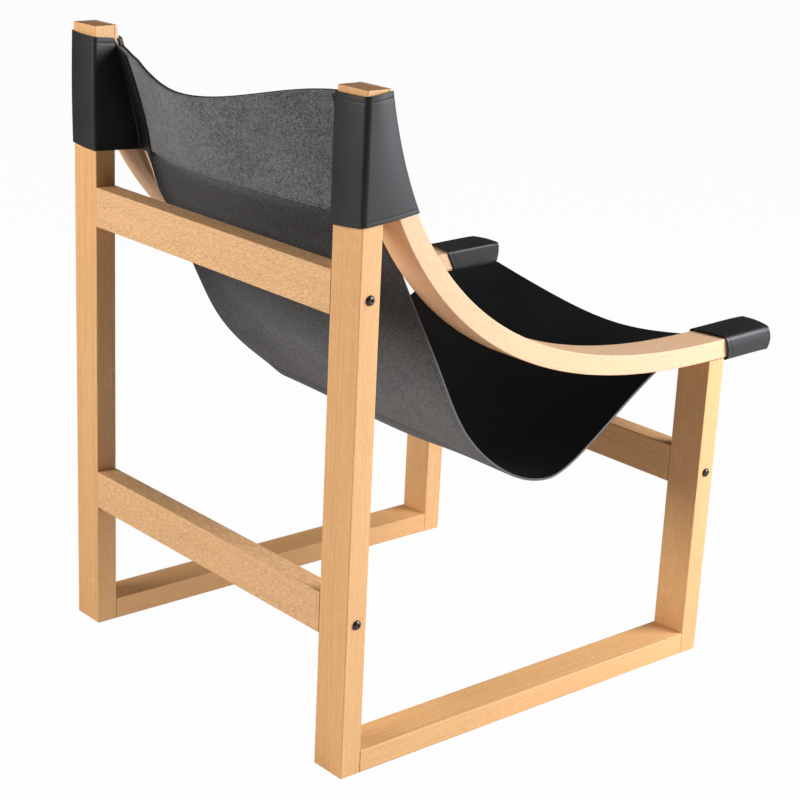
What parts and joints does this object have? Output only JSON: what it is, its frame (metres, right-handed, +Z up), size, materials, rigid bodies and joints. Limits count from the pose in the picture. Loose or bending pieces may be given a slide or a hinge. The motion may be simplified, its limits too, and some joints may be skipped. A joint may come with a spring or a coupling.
{
  "type": "lounge chair",
  "caption": "Lounge chair with two timber side frames, curved arms and bolted cross rails, and a black leather sling hung between them.",
  "frame": {"origin": "on the floor at the middle of the chair's footprint box", "axes": "+Z up, -Y the way a sitter faces, +X the sitter's left"},
  "size_m": [0.587, 0.7632, 0.81],
  "materials": {
    "oak": "planed light oak, oiled",
    "dowel_wood": "plain beech, unfinished",
    "hide_grain": "smooth black grain side, soft sheen",
    "hide_suede": "matt suede flesh side, charcoal",
    "dark_steel": "black oxide, satin",
    "zinc_steel": "zinc plated"
  },
  "bodies": {
    "root": {"rear_post_right": "oak", "front_leg_right": "oak", "floor_runner_right": "oak", "arm_right": "oak", "post_tenon_right": "dowel_wood", "leg_tenon_right": "dowel_wood", "arm_tenon_right": "dowel_wood", "arm_dowel_right_1": "dowel_wood", "arm_dowel_right_2": "dowel_wood", "rear_post_left": "oak", "front_leg_left": "oak", "floor_runner_left": "oak", "arm_left": "oak", "post_tenon_left": "dowel_wood", "leg_tenon_left": "dowel_wood", "arm_tenon_left": "dowel_wood", "arm_dowel_left_1": "dowel_wood", "arm_dowel_left_2": "dowel_wood", "upper_rear_rail": "oak", "upper_rear_rail_right_bolt": "dark_steel", "upper_rear_rail_right_nut": "zinc_steel", "upper_rear_rail_right_lower_dowel": "dowel_wood", "upper_rear_rail_right_upper_dowel": "dowel_wood", "upper_rear_rail_left_bolt": "dark_steel", "upper_rear_rail_left_nut": "zinc_steel", "upper_rear_rail_left_lower_dowel": "dowel_wood", "upper_rear_rail_left_upper_dowel": "dowel_wood", "lower_rear_rail": "oak", "lower_rear_rail_right_bolt": "dark_steel", "lower_rear_rail_right_nut": "zinc_steel", "lower_rear_rail_right_lower_dowel": "dowel_wood", "lower_rear_rail_right_upper_dowel": "dowel_wood", "lower_rear_rail_left_bolt": "dark_steel", "lower_rear_rail_left_nut": "zinc_steel", "lower_rear_rail_left_lower_dowel": "dowel_wood", "lower_rear_rail_left_upper_dowel": "dowel_wood", "front_rail": "oak", "front_rail_right_bolt": "dark_steel", "front_rail_right_nut": "zinc_steel", "front_rail_right_lower_dowel": "dowel_wood", "front_rail_right_upper_dowel": "dowel_wood", "front_rail_left_bolt": "dark_steel", "front_rail_left_nut": "zinc_steel", "front_rail_left_lower_dowel": "dowel_wood", "front_rail_left_upper_dowel": "dowel_wood", "sling_panel": "hide_grain", "back_band": "hide_suede", "rear_sleeve_right": "hide_grain", "rear_sleeve_left": "hide_grain", "front_sleeve_right": "hide_grain", "front_sleeve_left": "hide_grain"}
  },
  "joints": []
}
